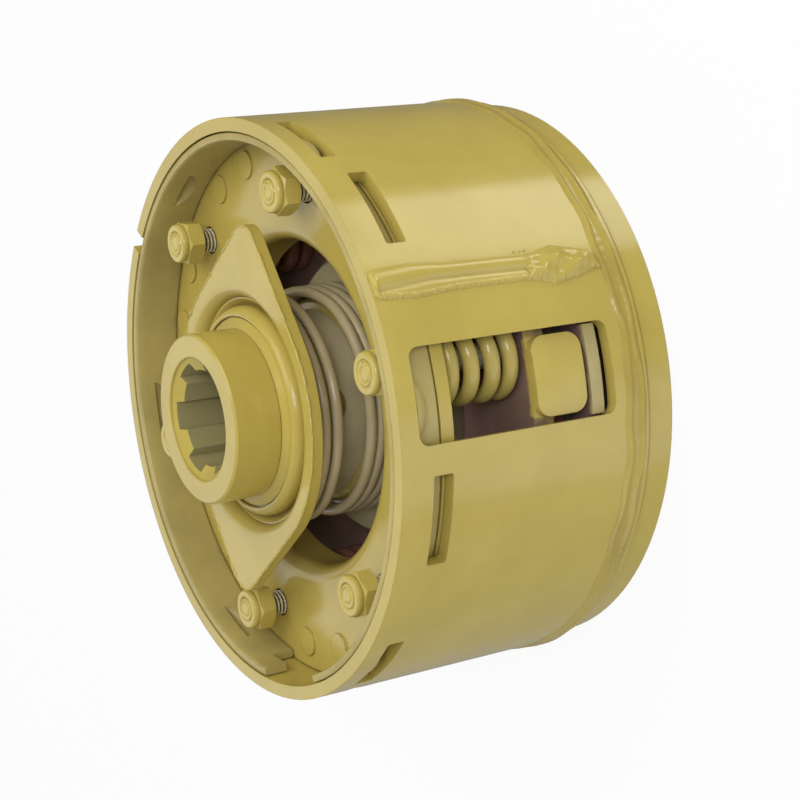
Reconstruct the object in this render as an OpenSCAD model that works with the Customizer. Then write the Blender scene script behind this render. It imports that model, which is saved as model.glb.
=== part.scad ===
// Friction clutch of a driveline: six springs press a pack of discs between a drum and a splined hub.
// Origin: centre of the rear face. +Z runs along the axis towards the hub's nose. Millimetres.

/* [Drum] */
// Outer diameter of the drum shell
drum_d = 180; // [176:1:196]
// Wall of the drum shell
drum_wall = 4.2; // [3.5:0.1:5]
// Width of each window in the shell
window_w = 27.2; // [25:0.1:29]
// Radius of the window corners
window_corner = 3.2; // [1:0.1:5]
// Band of shell left between the windows and the rim
window_band = 6.1; // [5:0.1:9]
// Room between the intermediate plate and the rear end of the windows
window_room = 2.2; // [1.5:0.1:3]
// Direction of the first window, in degrees
window_a = -90; // [-100:1:-80]
// Width of all slots
slot_w = 27.3; // [26:0.1:29]
// Height of the slots of the rear row
rear_slot_h = 6.4; // [4:0.1:7]
// Distance from the rim to the middle of the rear row
rear_slot_z = 13.4; // [12.5:0.1:15]
// Turn of the rear row against the windows, in degrees
rear_slot_turn = 37; // [36:0.1:38]
// Width of the notch in the rim
rim_notch_w = 6.5; // [4:0.1:9]
// Depth of the notch in the rim
rim_notch_h = 5.5; // [4:0.1:7]
// Direction of the notch in the rim, in degrees
rim_notch_a = 47.2; // [44:0.1:50]

/* [Flange] */
// How far the rear flange lies inside the shell's outer face
flange_step = 2; // [1:0.1:3]
// Thickness of the rear flange
flange_t = 13; // [11:0.5:16]
// Height of the flange's rim below the weld
flange_rim = 9; // [7:0.5:9.5]
// Height of the spigot that centres the shell
spigot_h = 2; // [1:0.1:3]
// Pitch circle of the tapped holes in the rear face
mount_pcd = 76; // [74:1:78]
// Tapping size of those holes
mount_hole_d = 8.5; // [6.8:0.1:8.5]
// Number of those holes
mount_count = 6; // [4:1:8]
// Bevel at the rear edge of the flange
flange_bevel = 0.8; // [0.3:0.1:1.5]

/* [Welds] */
// Height of the flange weld
weld_h = 10; // [8:0.1:10.5]
// How far the flange weld stands out past the shell
weld_crown = 1; // [0.5:0.1:2]
// Width of the seam weld
seam_w = 10.8; // [8:0.1:13]
// Height of the seam weld above the shell
seam_h = 2.2; // [1:0.1:3]
// Width of the lump at the seam's end
lump_w = 13.8; // [13:0.1:16]
// Height of the lump at the seam's end
lump_h = 3.4; // [3:0.1:4.5]
// Length of the lump
lump_l = 24; // [18:1:28]
// Turn of the seam from the first window, in degrees
seam_turn = 21.2; // [19:0.1:22]

/* [Setting ring] */
// Height of the setting ring
ring_h = 15.8; // [15:0.1:18]
// Thickness of the setting ring
ring_t = 2.7; // [2:0.1:3.2]
// Height of each louver
louver_h = 4.8; // [4:0.1:6]
// Angle that each louver spans, in degrees
louver_span = 11.8; // [8:0.1:13]
// How far the louvers stand out of the ring
louver_out = 3.4; // [2.8:0.1:4.2]
// Turn of the louvers against the slots, in degrees
louver_turn = -2.2; // [-2.4:0.1:2.4]
// Where the gap in the ring starts, in degrees
gap_a = 170.2; // [168:0.1:172]
// Angle that the gap spans, in degrees
gap_span = 22; // [15:0.1:24]
// How much further the gap reaches behind the tongue, in degrees
gap_step = 6.5; // [4:0.1:8]
// Height of the tongue at the gap
tongue_h = 8; // [6:0.1:10]

/* [Cover plate] */
// Thickness of the cover plate
cover_t = 4.2; // [3:0.1:5]
// Wall of the drawn rim round the hole in the cover plate
rim_wall = 3.2; // [2.5:0.1:3.6]
// Depth of that rim behind the plate
rim_depth = 10; // [6:0.5:12]
// Room between that rim and the compression springs
rim_room = 1.9; // [1:0.1:3]
// Rounding where the plate turns into the rim
cover_round = 4.8; // [3.6:0.1:5.5]
// Diameter of the half-sheared bosses
boss_d = 9; // [7:0.1:9.5]
// Height of the bosses
boss_h = 0.7; // [0.4:0.1:1]
// How far the bosses lie outside the circle of the studs
boss_out = 7; // [6.5:0.1:7.5]
// Angle from a stud to the bosses at its sides, in degrees
boss_turn = 14.5; // [13.5:0.1:15.5]
// Width of the notch in the cover's edge
edge_notch_w = 3.5; // [2:0.1:5]
// Depth of the notch in the cover's edge
edge_notch_d = 4; // [2:0.1:5]
// Direction of that notch, in degrees
edge_notch_a = -8.1; // [-12:0.1:-6]

/* [Springs and studs] */
// Outer diameter of the compression springs
spring_od = 27; // [25:0.1:28]
// Wire of the compression springs
spring_wire = 4.8; // [4:0.1:5.2]
// Length of the compression springs as fitted
spring_l = 28; // [26:0.1:32]
// Room between the springs and the shell
spring_room = 2.3; // [1.5:0.1:4]
// Turn of the first stud from the first window, in degrees
stud_turn = 6.5; // [0:0.1:8]
// Thread diameter of the studs
stud_d = 8; // [6:1:8]
// How far the studs stand past the cover plate
stud_out = 12.7; // [12:0.1:14]
// Size of the nuts across the flats
nut_af = 13; // [12:0.1:13.5]
// Height of the nuts
nut_h = 8; // [7:0.1:8.5]
// Height of the turned collar on the nuts
nut_collar_h = 2.3; // [1.5:0.1:3]
// How deep the stud ends lie in the nuts
stud_recess = 0.3; // [0.2:0.1:1.2]

/* [Disc pack] */
// Thickness of the friction discs
disc_t = 3.5; // [3:0.1:4]
// Room between the discs and the shell
disc_room = 8.8; // [7:0.1:12]
// Room between the friction discs and the barrel
disc_play = 5; // [3:0.1:8]
// Thickness of the inner drive plates
drive_t = 5; // [4:0.1:6]
// Thickness of the intermediate plate
inter_t = 4.2; // [3:0.1:5]
// Thickness of the pressure plate
press_t = 6.8; // [6:0.1:9]
// Room between the barrel and the plates round it
plate_play = 3; // [2:0.1:4]
// Room between those plates and the shell
plate_room = 1.3; // [0.8:0.1:2]
// Width of the lugs of the pressure plate
lug_w = 23.3; // [20:0.1:24.5]
// Height of the lugs of the pressure plate
lug_h = 17.3; // [16:0.1:18]
// Radius of the lugs' corners
lug_corner = 4.6; // [2:0.1:6]
// How far the lugs reach into the windows past the shell's inner face
lug_reach = 1.2; // [0.5:0.1:2.5]
// Room at each side of the intermediate plate's lugs
inter_lug_room = 0.5; // [0.3:0.1:1]

/* [Hub] */
// Diameter of the barrel that carries the drive plates
barrel_d = 90.8; // [86:0.1:91]
// Depth of the grooves in the barrel
barrel_groove = 5; // [3:0.1:5.5]
// Width of the grooves in the barrel
barrel_groove_w = 18; // [14:0.1:20]
// Height of the barrel's front face above the pressure plate
barrel_out = 8; // [6:0.1:8.5]
// Height of the shoulder that carries the collar spring
shoulder_h = 8; // [6:0.1:10]
// Height of the guide inside the collar spring
guide_h = 6.6; // [4:0.1:8]
// Diameter of the hub's body under the sleeve
body_d = 57.8; // [56:0.1:58.5]
// How far the nose lies inside the hub's body
nose_step = 2.7; // [2.5:0.1:3.2]
// How far the nose stands past the retaining ring
nose_out = 15.1; // [12:0.1:20]
// Diameter of the hub's pilot in the bush
pilot_d = 47.8; // [46:0.1:49]
// Wall of the bush
bush_wall = 3; // [2:0.1:3.5]
// Thickness of the thrust washer
washer_t = 2; // [1:0.1:3]
// Outer diameter of the thrust washer
washer_d = 66; // [60:1:66]

/* [Splined bore] */
// Major diameter of the internal spline
spline_major = 34.9; // [34.5:0.1:35.2]
// Minor diameter of the internal spline
spline_minor = 29.8; // [29:0.1:30.5]
// Width of each spline slot
spline_slot_w = 8.7; // [8:0.05:9]
// Direction of the first land between the slots, in degrees
spline_a = -5; // [-6:1:6]
// Diameter of the relief behind the spline
relief_d = 35.3; // [35.3:0.1:36]
// Length of that relief
relief_l = 30; // [15:1:40]
// Diameter of the counterbore in the nose
mouth_d = 38; // [37:0.1:40]
// Depth of the counterbore
mouth_h = 0.8; // [0.5:0.1:1.5]
// Depth of the cone that leads into the spline
lead_h = 2.2; // [1.5:0.1:3]

/* [Release collar] */
// Travel of the collar when it is pulled back
collar_travel = 7; // [6.5:0.1:7.1]
// Wall of the sleeve's rear tube
tube_wall = 3.3; // [3:0.1:3.6]
// Wall of the sleeve at the grip plate
sleeve_wall = 3.75; // [3.5:0.05:4.2]
// Thickness of the sleeve's flange
sleeve_flange_t = 3; // [2.5:0.1:3.2]
// How far the sleeve's flange stands out
sleeve_flange_out = 4.75; // [4:0.05:5.2]
// How far the step that centres the grip plate stands out
step_out = 2.65; // [2:0.05:3]
// Thickness of the grip plate
grip_t = 3.7; // [3:0.1:4]
// Radius of the grip plate's waist
grip_waist = 43; // [42:0.1:45]
// Radius of the grip plate's tips
grip_tip = 8; // [6:0.1:10]
// Room between the tips and the nuts
grip_room = 3.9; // [2:0.1:6]
// Direction of the grip plate's tips, in degrees
grip_a = -17.5; // [-22:0.5:-14]
// Rounding of the grip plate's hole
grip_round = 4; // [3:0.1:4]
// Wire of the collar spring
collar_wire = 3.4; // [3:0.1:3.4]
// Diameter of the locking balls
ball_d = 13; // [12.8:0.1:13.2]
// Width of the retaining ring
retainer_w = 4.3; // [4:0.1:4.8]
// Thickness of the retaining ring
retainer_t = 2; // [1.5:0.1:2.2]

/* [Hidden] */

$fn = 96;
eps = 0.01;
far = 400;
over = 5;               // how far cutting bodies run past what they cut

// Clearances
run_fit = 0.1;          // radial play of a turning or sliding fit
stud_fit = 0.05;        // radial play between stud and nut
stud_hole_play = 0.5;   // radial play of the studs in the cover plate
seat_fit = 0.1;         // radial play of a piece seated on its own body
slot_play = 0.3;        // play between neighbours that touch with curved faces
side_play = 0.3;        // play at each side of a drive tooth

// Counts and colours
windows = 3;
springs = 6;
teeth = 6;
splines = 6;
balls = 3;
gold = "#b8a850";
gold_dark = "#8c7a3c";
maroon = "#5a4040";
lining = "#4a463e";
bronze = "#b08d57";
steel = "#9a9a96";

// Heights of the stack, from the rear face up
drum_r = drum_d / 2;
drum_ri = drum_r - drum_wall;
shell_z = flange_t - spigot_h;
disc_z1 = flange_t;
drive_z1 = disc_z1 + disc_t;
disc_z2 = drive_z1 + drive_t;
inter_z = disc_z2 + disc_t;
disc_z3 = inter_z + inter_t;
drive_z2 = disc_z3 + disc_t;
disc_z4 = drive_z2 + drive_t;
press_z = disc_z4 + disc_t;
spring_z = press_z + press_t;
cover_z = spring_z + spring_l;
ring_z = cover_z + cover_t;
rim_z = ring_z + ring_h;
nut_z = ring_z + stud_out + stud_recess - nut_h;

// Radii of the pack
disc_r = drum_ri - disc_room;
plate_r = drum_ri - plate_room;
stud_r = drum_ri - spring_room - spring_od / 2;
boss_r = stud_r + boss_out;
nut_corner = nut_af / 2 / cos(30);
cover_hole_r = stud_r - spring_od / 2 - rim_room - rim_wall;
flange_r = drum_r - flange_step;

// Windows and slots
window_z = inter_z - window_room;
window_h = rim_z - window_band - window_z;
slot_h = louver_h + 2 * slot_play;
slot_corner = 0.8;
slot_z = rim_z - window_band - slot_h;
ring_r = drum_ri - slot_play;
louver_z = slot_z + slot_play;

// Hub
pilot_r = pilot_d / 2;
barrel_r = barrel_d / 2;
plate_ri = barrel_r + plate_play;
barrel_z = flange_t + washer_t;
barrel_top = spring_z + barrel_out;
shoulder_z = barrel_top + shoulder_h;
body_r = body_d / 2;
nose_r = body_r - nose_step;
retainer_z = rim_z + 0.3;
nose_z = retainer_z + retainer_t + nose_out;
hub_foot = 0.5;         // gap between the hub's pilot and the rear face
groove_depth = 1.3;     // depth of the retaining ring's groove in the nose
retainer_split = 3;     // gap at the ends of the retaining ring
retainer_turn = 105;    // direction of that gap, from the first land of the spline
relief_r = relief_d / 2;
ball_r = ball_d / 2;
spline_slot_a = spline_a + 180 / splines;
ball_turn = 3;          // turn of the first ball from the middle of a spline slot

// Collar, front to rear
bore_r = body_r + run_fit;
pocket_r = nose_r - groove_depth + seat_fit + retainer_w + 0.4;
lock_groove_r = bore_r + 2.6;
land_h = 1.2;
lock_groove_h = 4.2;
ramp_h = 5.4;
lip_h = 1.2;            // how far the sleeve's lip stands past the retaining ring's rear face
sleeve_top = retainer_z + lip_h;
sleeve_r = bore_r + sleeve_wall;
tube_r = bore_r + tube_wall;
flange_top = retainer_z - 2.5;
flange_low = flange_top - sleeve_flange_t;
sleeve_flange_r = sleeve_r + sleeve_flange_out;
step_r = sleeve_r + step_out;
step_h = 0.3;           // height of that step above the flange
step_dip = 1.9;         // depth of the valley between the step and the sleeve
lock_groove_top = retainer_z - land_h;
ramp_top = lock_groove_top - lock_groove_h;
ramp_low = ramp_top - ramp_h;
ball_z = ramp_low - 1.5;
tube_z = ball_z - 2.2;
ball_play = 0.9;        // room outside a ball when it locks
ball_cr = bore_r - ball_play - ball_r;
ball_seat_top = ball_cr - 1.4;
ball_seat_low = ball_seat_top - 3.3;
ball_hole_r = ball_r + 0.2;
ball_seat_r = 5.2;
collar_spring_r = tube_r + 0.8 + collar_wire / 2;
shoulder_r = collar_spring_r + collar_wire / 2;

function stud_a(i) = window_a + stud_turn + i * 360 / springs;
// Turn of each nut's corners, as the nuts happen to stand
nut_corner_a = [30, 52, 18, 10, 23, 40];

module ring(ro, ri, h) {
  difference() {
    cylinder(r = ro, h = h);
    translate([0, 0, -eps]) cylinder(r = ri, h = h + 2 * eps);
  }
}

module round_rect(w, h, r) {
  square([w - 2 * r, h], center = true);
  square([w, h - 2 * r], center = true);
  for (x = [-1, 1], y = [-1, 1]) translate([x * (w / 2 - r), y * (h / 2 - r)]) circle(r = r);
}

// A prism that runs outwards from the axis at angle a, with its profile centred at height z
module radial(a, z, r0, r1) {
  rotate([0, 0, a]) translate([r0, 0, z]) rotate([90, 0, 90]) linear_extrude(r1 - r0) children();
}

// A sector of a turned profile, centred on angle a
module sector(a, span) {
  rotate([0, 0, a - span / 2]) rotate_extrude(angle = span) children();
}

// Centre line of a coil: closed end turns, open turns between them
function coil_z(u, n, closed, z0, z1, closed_pitch) =
  let (open_pitch = (z1 - z0 - 2 * closed * closed_pitch) / (n - 2 * closed))
  u < closed ? z0 + u * closed_pitch
  : u > n - closed ? z1 - (n - u) * closed_pitch
  : z0 + closed * closed_pitch + (u - closed) * open_pitch;

// A wire swept along a list of points: points = rings of sides, closed at both ends
module wire(rings, sides) {
  n = len(rings);
  pts = [for (r = rings, p = r) p];
  walls = [
    for (i = [0:n - 2], j = [0:sides - 1])
      let (k = (j + 1) % sides)
      [i * sides + j, i * sides + k, (i + 1) * sides + k, (i + 1) * sides + j]
  ];
  foot = [for (j = [sides - 1:-1:0]) j];
  head = [for (j = [0:sides - 1]) (n - 1) * sides + j];
  polyhedron(points = pts, faces = concat([foot], walls, [head]), convexity = 10);
}

// Ring of points round the coil's centre line at angle a and height z
function wire_ring(rm, rw, a, z, sides) = [
  for (j = [0:sides - 1])
    let (b = (j + 0.5) * 360 / sides, r = rm + rw * cos(b))
    [r * cos(a), r * sin(a), z - rw * sin(b)]
];

module drum_shell() {
  color(gold) difference() {
    translate([0, 0, shell_z]) ring(drum_r, drum_ri, rim_z - shell_z);
    for (i = [0:windows - 1]) {
      a = window_a + i * 360 / windows;
      radial(a, window_z + window_h / 2, drum_r / 2, drum_r + over)
        round_rect(window_w, window_h, window_corner);
      radial(a + 180 / windows, slot_z + slot_h / 2, drum_r / 2, drum_r + over)
        round_rect(slot_w, slot_h, slot_corner);
    }
    for (i = [0:springs - 1])
      radial(window_a + rear_slot_turn + i * 360 / springs, rim_z - rear_slot_z, drum_r / 2, drum_r + over)
        round_rect(slot_w, rear_slot_h, slot_corner);
    radial(rim_notch_a, rim_z, drum_r / 2, drum_r + over)
      square([rim_notch_w, 2 * rim_notch_h], center = true);
  }
}

// A rounded bead of given width and height on the shell, from z0 to z1
module bead(w, h, z0, z1) {
  rb = (w * w / 4 + h * h) / (2 * h);
  translate([0, 0, z0]) linear_extrude(z1 - z0) difference() {
    translate([drum_r + h - rb, 0]) circle(r = rb);
    circle(r = drum_r, $fn = 720);
  }
}

module seam_weld() {
  weld_top = flange_rim + weld_h + slot_play;
  color(gold) rotate([0, 0, window_a + seam_turn]) {
    bead(seam_w, seam_h, weld_top + lump_l * 0.8, rim_z - slot_play);
    intersection() {
      bead(lump_w, lump_h, weld_top, weld_top + lump_l);
      translate([0, 0, weld_top + lump_l / 2]) rotate([0, 90, 0]) cylinder(d = lump_l, h = far);
    }
  }
}

module flange_weld() {
  top = flange_rim + weld_h;
  high = top - shell_z;
  r1 = drum_r + weld_crown;
  color(gold) rotate_extrude() polygon([
    [flange_r, flange_rim], [flange_r + 1, flange_rim + 1], [r1 - 0.8, shell_z],
    [r1 - 0.25, shell_z + 0.2 * high], [r1, shell_z + 0.4 * high], [r1, shell_z + 0.62 * high],
    [r1 - 0.35, shell_z + 0.8 * high], [drum_r, top], [drum_r, shell_z], [drum_ri, shell_z]
  ]);
}

module rear_flange() {
  bush_r = pilot_r + run_fit + bush_wall;
  color(gold) difference() {
    rotate_extrude() polygon([
      [bush_r, 0], [flange_r - flange_bevel, 0], [flange_r, flange_bevel], [flange_r, flange_rim],
      [drum_ri, shell_z], [drum_ri, flange_t], [bush_r, flange_t]
    ]);
    for (i = [0:mount_count - 1]) rotate([0, 0, i * 360 / mount_count])
      translate([mount_pcd / 2, 0, -eps]) cylinder(d = mount_hole_d, h = flange_t + 2 * eps);
  }
}

module rear_bush() {
  color(bronze) ring(pilot_r + run_fit + bush_wall, pilot_r + run_fit, flange_t);
}

module louver_places(span) {
  for (i = [0:springs - 1]) sector(window_a + louver_turn + i * 360 / springs, span) children();
}

module setting_ring() {
  ri = ring_r - ring_t;
  root = 0.3;             // how deep the louvers are rooted in the ring
  color(gold) difference() {
    union() {
      difference() {
        translate([0, 0, ring_z]) ring(ring_r, ri, ring_h);
        louver_places(louver_span - 1) translate([ri - 1, louver_z]) square([ring_t + 2, louver_h]);
      }
      louver_places(louver_span) polygon([
        [ri + root, louver_z - 1], [ring_r - root, louver_z - 1], [ring_r - root, louver_z],
        [ring_r + louver_out, louver_z + louver_h - 1], [ring_r + louver_out, louver_z + louver_h],
        [ring_r + louver_out - ring_t, louver_z + louver_h], [ri + root, louver_z + 1.6]
      ]);
    }
    sector(gap_a + gap_span / 2, gap_span) translate([ri - 1, ring_z - eps])
      square([ring_t + 2, ring_h + 1]);
    sector(gap_a - gap_step / 2 + 1, gap_step + 2) translate([ri - 1, ring_z - eps])
      square([ring_t + 2, ring_h - tongue_h]);
  }
}

module boss_places() {
  for (i = [0:springs - 1]) {
    rotate([0, 0, stud_a(i) + 180 / springs]) translate([boss_r, 0, 0]) children();
    if (i % 2 == 0) for (s = [-1, 1])
      rotate([0, 0, stud_a(i) + s * boss_turn]) translate([boss_r, 0, 0]) children();
  }
}

// Plate with a rim drawn rearwards round its hole
module cover_plate() {
  low = cover_z - rim_depth;
  turn_r = cover_hole_r + cover_round;
  turn_z = ring_z - cover_round;
  color(gold) difference() {
    union() {
      translate([0, 0, cover_z]) cylinder(r = ring_r, h = cover_t);
      translate([0, 0, low]) cylinder(r = cover_hole_r + rim_wall, h = rim_depth + 1);
      translate([0, 0, ring_z - eps]) boss_places() cylinder(d = boss_d, h = boss_h + eps);
    }
    translate([0, 0, cover_z - eps]) boss_places() cylinder(d = boss_d - 0.4, h = boss_h);
    rotate_extrude() difference() {
      translate([0, low - 1]) square([turn_r, ring_z - low + 2]);
      translate([turn_r, turn_z]) circle(r = cover_round);
      translate([cover_hole_r, low - 2]) square([cover_round + 1, turn_z - low + 2]);
    }
    for (i = [0:springs - 1]) rotate([0, 0, stud_a(i)]) translate([stud_r, 0, cover_z - 1])
      cylinder(r = stud_d / 2 + stud_hole_play, h = cover_t + 2);
    rotate([0, 0, edge_notch_a]) translate([ring_r - edge_notch_d, -edge_notch_w / 2, cover_z - 1])
      cube([far, edge_notch_w, cover_t + 2]);
  }
}

module friction_disc(z) {
  color(lining) translate([0, 0, z]) ring(disc_r, barrel_r + disc_play, disc_t);
}

module intermediate_plate() {
  color(gold_dark) translate([0, 0, inter_z]) difference() {
    union() {
      cylinder(r = plate_r, h = inter_t);
      intersection() {
        cylinder(r = drum_ri + 1.4, h = inter_t);
        for (i = [0:windows - 1]) rotate([0, 0, window_a + i * 360 / windows])
          translate([disc_r, inter_lug_room - window_w / 2, 0])
            cube([far, window_w - 2 * inter_lug_room, inter_t]);
      }
    }
    translate([0, 0, -eps]) cylinder(r = plate_ri, h = inter_t + 2 * eps);
  }
}

// One rounded lug, standing out of the pressure plate's rim at angle a
module lug(a) {
  intersection() {
    radial(a, spring_z - lug_h / 2, disc_r + 1.5, drum_r) round_rect(lug_w, lug_h, lug_corner);
    cylinder(r = drum_ri + lug_reach, h = far);
  }
}

module pressure_plate() {
  color(gold_dark) difference() {
    union() {
      translate([0, 0, press_z]) cylinder(r = plate_r, h = press_t);
      for (i = [0:windows - 1]) lug(window_a + i * 360 / windows);
    }
    translate([0, 0, press_z - eps]) cylinder(r = plate_ri, h = press_t + 2 * eps);
    for (i = [0:springs - 1]) rotate([0, 0, stud_a(i)]) translate([stud_r, 0, press_z - eps])
      cylinder(r = stud_d / 2 + eps, h = press_t + 2 * eps);
  }
}

module pressure_studs() {
  top = ring_z + stud_out;
  bevel = 0.6;
  color(steel) for (i = [0:springs - 1]) rotate([0, 0, stud_a(i)]) translate([stud_r, 0, 0]) {
    translate([0, 0, press_z]) cylinder(d = stud_d, h = top - bevel - press_z);
    translate([0, 0, top - bevel]) cylinder(d1 = stud_d, d2 = stud_d - 2 * bevel, h = bevel);
  }
}

// Compression spring with its ends ground flat
module pressure_spring(i) {
  turns = 4.34;
  closed = 0.9;
  tip = 0.6;
  steps = 16;
  first = 142;
  sides = 8;
  rm = (spring_od - spring_wire) / 2;
  z0 = spring_z + tip;
  z1 = cover_z - tip;
  n = round(turns * steps);
  color(gold) rotate([0, 0, stud_a(i)]) translate([stud_r, 0, 0]) intersection() {
    wire([
      for (k = [0:n])
        let (u = turns * k / n, z = coil_z(u, turns, closed, z0, z1, spring_wire + 0.1))
        wire_ring(rm, spring_wire / 2, first + 360 * u, z, sides)
    ], sides);
    translate([0, 0, spring_z]) cylinder(r = spring_od, h = spring_l, $fn = 12);
  }
}

// Lock nut: chamfered hexagon with a turned collar
module lock_nut(i) {
  hex_h = nut_h - nut_collar_h;
  rc = nut_af / 2;
  color(gold) rotate([0, 0, stud_a(i)]) translate([stud_r, 0, nut_z]) difference() {
    union() {
      intersection() {
        rotate([0, 0, nut_corner_a[i] - stud_a(i)]) cylinder(r = nut_corner, h = hex_h, $fn = 6);
        rotate_extrude() polygon([
          [0, 0], [rc - 0.15, 0], [rc + 1.7, 1.1], [rc + 1.7, hex_h - 1.25], [rc - 0.3, hex_h],
          [0, hex_h]
        ]);
      }
      translate([0, 0, hex_h]) rotate_extrude() polygon([
        [0, -0.5], [rc - 0.5, -0.5], [rc - 0.5, 0], [rc, 0.5], [rc, nut_collar_h - 1.1],
        [rc - 0.3, nut_collar_h - 0.4], [rc - 1, nut_collar_h], [0, nut_collar_h]
      ]);
    }
    translate([0, 0, -1]) cylinder(r = stud_d / 2 + stud_fit, h = nut_h + 2);
  }
}

module drive_plate(z) {
  tooth_w = barrel_groove_w - 2 * side_play;
  color(gold_dark) translate([0, 0, z]) difference() {
    cylinder(r = disc_r, h = drive_t);
    difference() {
      translate([0, 0, -eps]) cylinder(r = barrel_r + side_play, h = drive_t + 2 * eps);
      for (i = [0:teeth - 1]) rotate([0, 0, window_a + i * 360 / teeth])
        translate([barrel_r - barrel_groove + side_play, -tooth_w / 2, -1]) cube([far, tooth_w, drive_t + 2]);
    }
  }
}

module ball_places() {
  for (i = [0:balls - 1]) rotate([0, 0, spline_slot_a + ball_turn + i * 360 / balls]) children();
}

module hub() {
  ring_groove_r = nose_r - groove_depth;
  guide_z = shoulder_z + guide_h;
  color(gold_dark) difference() {
    rotate_extrude() difference() {
      polygon([
        [spline_minor / 2, hub_foot], [pilot_r - 0.8, hub_foot], [pilot_r, hub_foot + 0.8],
        [pilot_r, barrel_z], [barrel_r - 1, barrel_z], [barrel_r, barrel_z + 1],
        [barrel_r, barrel_top - 1.5], [barrel_r - 1.5, barrel_top], [shoulder_r, barrel_top],
        [shoulder_r, shoulder_z - 0.8], [shoulder_r - 0.8, shoulder_z], [tube_r, shoulder_z],
        [tube_r, guide_z - 1.3], [tube_r - 1.3, guide_z], [body_r, guide_z], [body_r, retainer_z - 0.8],
        [body_r - 0.6, retainer_z - 0.1], [nose_r, retainer_z - 0.1], [nose_r, nose_z - 0.6],
        [nose_r - 0.6, nose_z], [mouth_d / 2 + 0.3, nose_z], [mouth_d / 2, nose_z - 0.3],
        [mouth_d / 2, nose_z - mouth_h], [spline_minor / 2, nose_z - mouth_h - lead_h]
      ]);
      translate([ring_groove_r, retainer_z - 0.1]) square([retainer_w + 1, retainer_t + 0.2]);
    }
    translate([0, 0, -1]) cylinder(r = relief_r, h = relief_l + 1);
    for (i = [0:splines - 1]) rotate([0, 0, spline_slot_a + i * 360 / splines])
      intersection() {
        translate([0, -spline_slot_w / 2, -1]) cube([far, spline_slot_w, nose_z + 1]);
        translate([0, 0, -1]) cylinder(d = spline_major, h = far);
      }
    for (i = [0:teeth - 1]) rotate([0, 0, window_a + i * 360 / teeth])
      translate([barrel_r - barrel_groove, -barrel_groove_w / 2, barrel_z - 1])
        cube([far, barrel_groove_w, press_z - barrel_z + 2]);
    ball_places() translate([0, 0, ball_z]) rotate([0, 90, 0]) {
      cylinder(r = ball_seat_r, h = ball_seat_low + eps);
      translate([0, 0, ball_seat_low])
        cylinder(r1 = ball_seat_r, r2 = ball_hole_r, h = ball_seat_top - ball_seat_low);
      translate([0, 0, ball_seat_top - eps]) cylinder(r = ball_hole_r, h = body_r);
    }
  }
}

module thrust_washer() {
  color(bronze) translate([0, 0, flange_t]) ring(washer_d / 2, pilot_r + slot_play, washer_t);
}

module retaining_ring() {
  ri = nose_r - groove_depth + seat_fit;
  ro = ri + retainer_w;
  rim_t = 0.6;
  color(gold) translate([0, 0, retainer_z]) difference() {
    rotate_extrude() polygon([
      [ri, 0], [ro, 0], [ro, rim_t], [ri + groove_depth + 0.1, retainer_t], [ri, retainer_t]
    ]);
    rotate([0, 0, spline_a + retainer_turn]) translate([0, -retainer_split / 2, -1])
      cube([far, retainer_split, retainer_t + 2]);
  }
}

module locking_sleeve() {
  lip_r = (sleeve_r - pocket_r) / 2;
  color(gold) rotate_extrude() union() {
    polygon([
      [pocket_r, sleeve_top - lip_r], [pocket_r, retainer_z], [bore_r, retainer_z], [bore_r, lock_groove_top],
      [lock_groove_r, lock_groove_top], [lock_groove_r, ramp_top], [bore_r, ramp_low], [bore_r, tube_z],
      [tube_r, tube_z], [tube_r, flange_low], [sleeve_flange_r, flange_low],
      [sleeve_flange_r, flange_top], [step_r, flange_top], [step_r, flange_top + step_h],
      [step_r - 0.5, flange_top + step_h], [sleeve_r, flange_top - step_dip],
      [sleeve_r, sleeve_top - lip_r]
    ]);
    translate([(sleeve_r + pocket_r) / 2, sleeve_top - lip_r]) circle(r = lip_r);
  }
}

// Outline of the grip plate: a round waist and two round tips, joined by straight tangents
module grip_outline() {
  d = stud_r - nut_corner - grip_room - grip_tip;
  b = acos((grip_waist - grip_tip) / d);
  waist = grip_waist * [cos(b), sin(b)];
  tip = [d + grip_tip * cos(b), grip_tip * sin(b)];
  circle(r = grip_waist);
  for (s = [0, 180]) rotate([0, 0, s]) {
    translate([d, 0]) circle(r = grip_tip);
    polygon([[0, -waist[1]], [waist[0], -waist[1]], [tip[0], -tip[1]], tip, waist, [0, waist[1]]]);
  }
}

module grip_plate() {
  rh = step_r + seat_fit;
  color(gold) difference() {
    rotate([0, 0, grip_a]) translate([0, 0, flange_top]) linear_extrude(grip_t) grip_outline();
    rotate_extrude() difference() {
      translate([0, flange_top - 1]) square([rh + grip_round, grip_t + 2]);
      translate([rh + grip_round, flange_top + grip_t - grip_round]) circle(r = grip_round);
      translate([rh, flange_top - 2]) square([grip_round + 1, grip_t - grip_round + 2]);
    }
  }
}

// Share of a climb that is done after u turns, when it lasts from turn u0 to turn u1
function climb(u, u0, u1) = min(max((u - u0) / (u1 - u0), 0), 1);

// Wound by hand: closed turns at the rear, one steep turn, slack turns in front
module collar_spring() {
  turns = 4.67;
  steps = 22;
  first = 180;
  sides = 8;
  slack_h = 4.1;
  tip_h = 1.4;
  z0 = shoulder_z + collar_wire / 2;
  z1 = flange_low - collar_wire / 2;
  open_h = z1 - z0 - 2 * collar_wire - slack_h - tip_h;
  n = round(turns * steps);
  color(gold) wire([
    for (k = [0:n])
      let (
        u = turns * k / n,
        closed = collar_wire * (climb(u, 0.39, 0.94) + climb(u, 1.39, 1.94)),
        front = slack_h * climb(u, 3.35, 4.06) + tip_h * climb(u, 4.28, turns)
      )
      wire_ring(collar_spring_r, collar_wire / 2, first + 360 * u,
        z0 + closed + open_h * climb(u, 2.4, 3.13) + front, sides)
  ], sides);
}

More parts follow.
